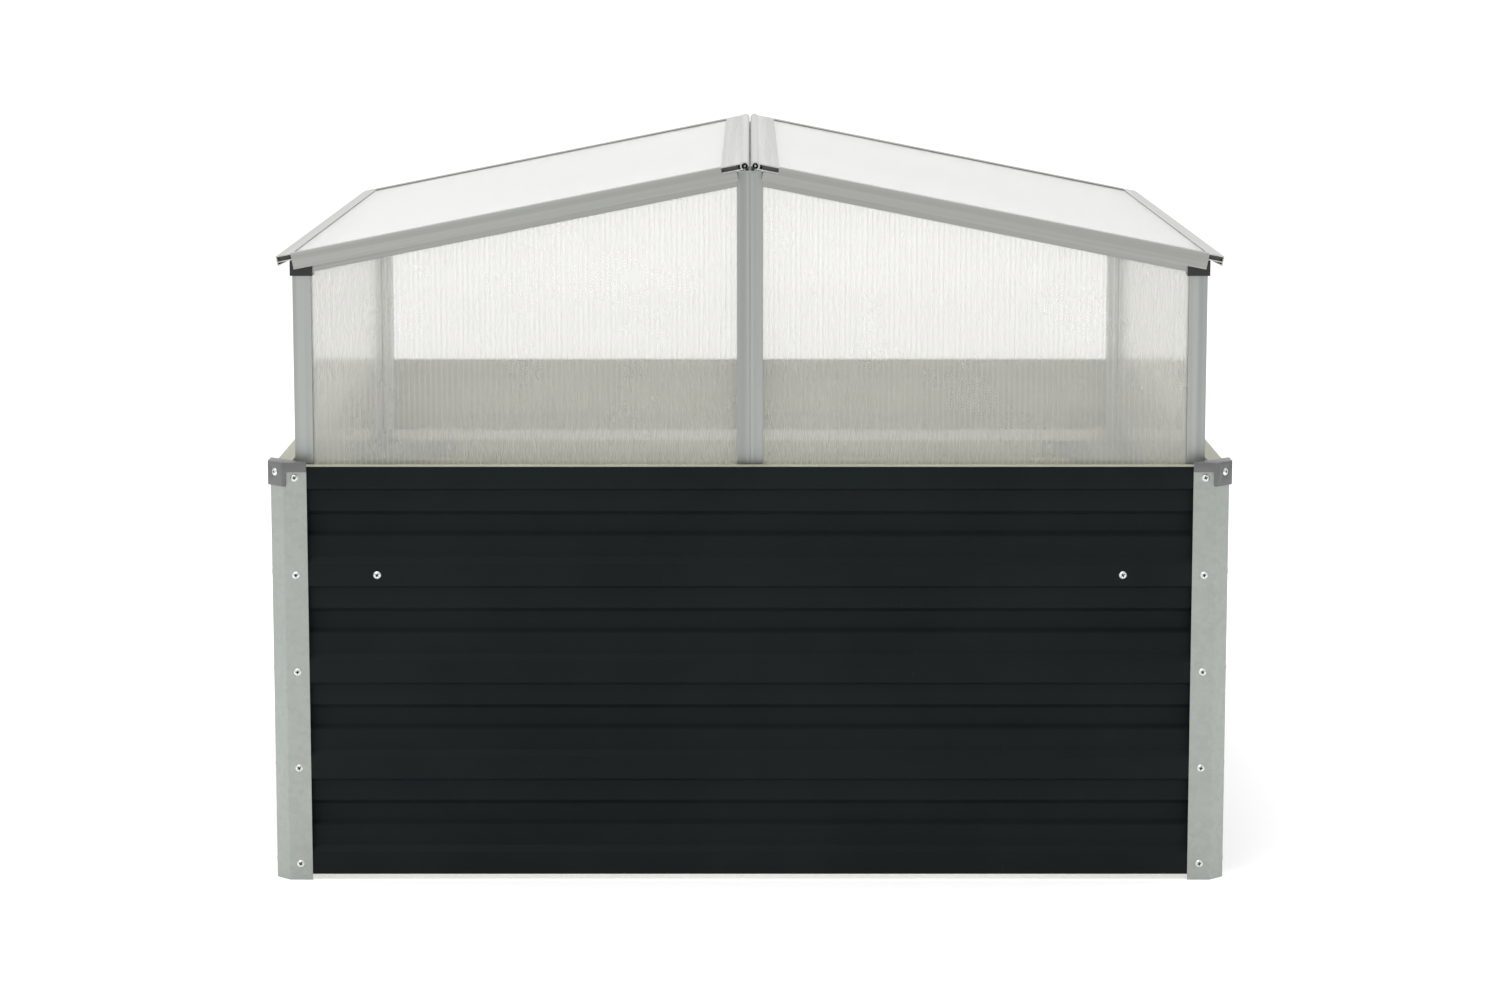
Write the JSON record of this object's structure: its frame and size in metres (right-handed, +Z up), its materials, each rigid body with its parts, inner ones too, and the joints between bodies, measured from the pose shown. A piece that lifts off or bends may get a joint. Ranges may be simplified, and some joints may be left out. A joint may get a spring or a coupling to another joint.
{
  "type": "cold frame",
  "caption": "Square corrugated steel raised bed with folded corner posts, topped by an aluminium gable cold frame with twin-wall sheets and ridge-hinged lids.",
  "frame": {"origin": "centre of the bed on the ground", "axes": "+Z up, -Y to the front gable, +X to the right seen from the front; the ridge runs along Y"},
  "size_m": [1.0052, 1.0052, 0.7551],
  "materials": {
    "painted_steel": "satin anthracite outside, pale grey-green primer inside",
    "galvanised_steel": "hot-dip galvanised, faint spangle",
    "cap_plastic": "moulded, satin",
    "frame_aluminium": "mill-finish extrusion, satin",
    "lid_aluminium": "mill-finish extrusion, satin",
    "twin_wall_sheet": "translucent twin-wall polycarbonate, ribbed",
    "black_plastic": "moulded, satin",
    "zinc_fasteners": "bright zinc plating"
  },
  "bodies": {
    "root": {"front_wall": "painted_steel", "back_wall": "painted_steel", "left_wall": "painted_steel", "right_wall": "painted_steel", "front_left_post": "galvanised_steel", "front_right_post": "galvanised_steel", "back_left_post": "galvanised_steel", "back_right_post": "galvanised_steel", "front_left_cap": "cap_plastic", "front_right_cap": "cap_plastic", "back_left_cap": "cap_plastic", "back_right_cap": "cap_plastic", "front_left_brace": "galvanised_steel", "front_right_brace": "galvanised_steel", "back_left_brace": "galvanised_steel", "back_right_brace": "galvanised_steel", "post_screws": "zinc_fasteners", "post_nuts": "zinc_fasteners", "brace_bolts": "zinc_fasteners", "brace_nuts": "zinc_fasteners", "front_left_upright": "frame_aluminium", "front_right_upright": "frame_aluminium", "back_left_upright": "frame_aluminium", "back_right_upright": "frame_aluminium", "front_centre_upright": "frame_aluminium", "back_centre_upright": "frame_aluminium", "front_left_gable_rail": "frame_aluminium", "front_right_gable_rail": "frame_aluminium", "back_left_gable_rail": "frame_aluminium", "back_right_gable_rail": "frame_aluminium", "left_eave_rail": "frame_aluminium", "right_eave_rail": "frame_aluminium", "ridge_beam": "frame_aluminium", "front_sills": "frame_aluminium", "back_sills": "frame_aluminium", "left_sill": "frame_aluminium", "right_sill": "frame_aluminium", "corner_connectors": "black_plastic", "front_left_sheet": "twin_wall_sheet", "front_right_sheet": "twin_wall_sheet", "back_left_sheet": "twin_wall_sheet", "back_right_sheet": "twin_wall_sheet", "left_sheet": "twin_wall_sheet", "right_sheet": "twin_wall_sheet", "stay_pegs": "zinc_fasteners"},
    "left_lid": {"left_lid_hinge_rail": "lid_aluminium", "left_lid_eave_rail": "lid_aluminium", "left_lid_front_rail": "lid_aluminium", "left_lid_back_rail": "lid_aluminium", "left_lid_sheet": "twin_wall_sheet", "left_stay_bracket": "zinc_fasteners"},
    "right_lid": {"right_lid_hinge_rail": "lid_aluminium", "right_lid_eave_rail": "lid_aluminium", "right_lid_front_rail": "lid_aluminium", "right_lid_back_rail": "lid_aluminium", "right_lid_sheet": "twin_wall_sheet", "right_stay_bracket": "zinc_fasteners"},
    "left_stay": {"left_stay": "zinc_fasteners"},
    "right_stay": {"right_stay": "zinc_fasteners"}
  },
  "joints": [
    {"name": "left_lid_hinge", "type": "hinge", "parent": "root", "child": "left_lid", "pos_m": [-0.0055, 0, 0.7503], "axis": [0, 1, 0], "range_deg": [0, 70]},
    {"name": "right_lid_hinge", "type": "hinge", "parent": "root", "child": "right_lid", "pos_m": [0.0055, 0, 0.7503], "axis": [0, -1, 0], "range_deg": [0, 70]},
    {"name": "left_stay_pivot", "type": "hinge", "parent": "left_lid", "child": "left_stay", "pos_m": [-0.4252, -0.45, 0.65624], "axis": [0, 1, 0], "range_deg": [0, 100]},
    {"name": "right_stay_pivot", "type": "hinge", "parent": "right_lid", "child": "right_stay", "pos_m": [0.4252, -0.45, 0.65624], "axis": [0, -1, 0], "range_deg": [0, 100]}
  ]
}
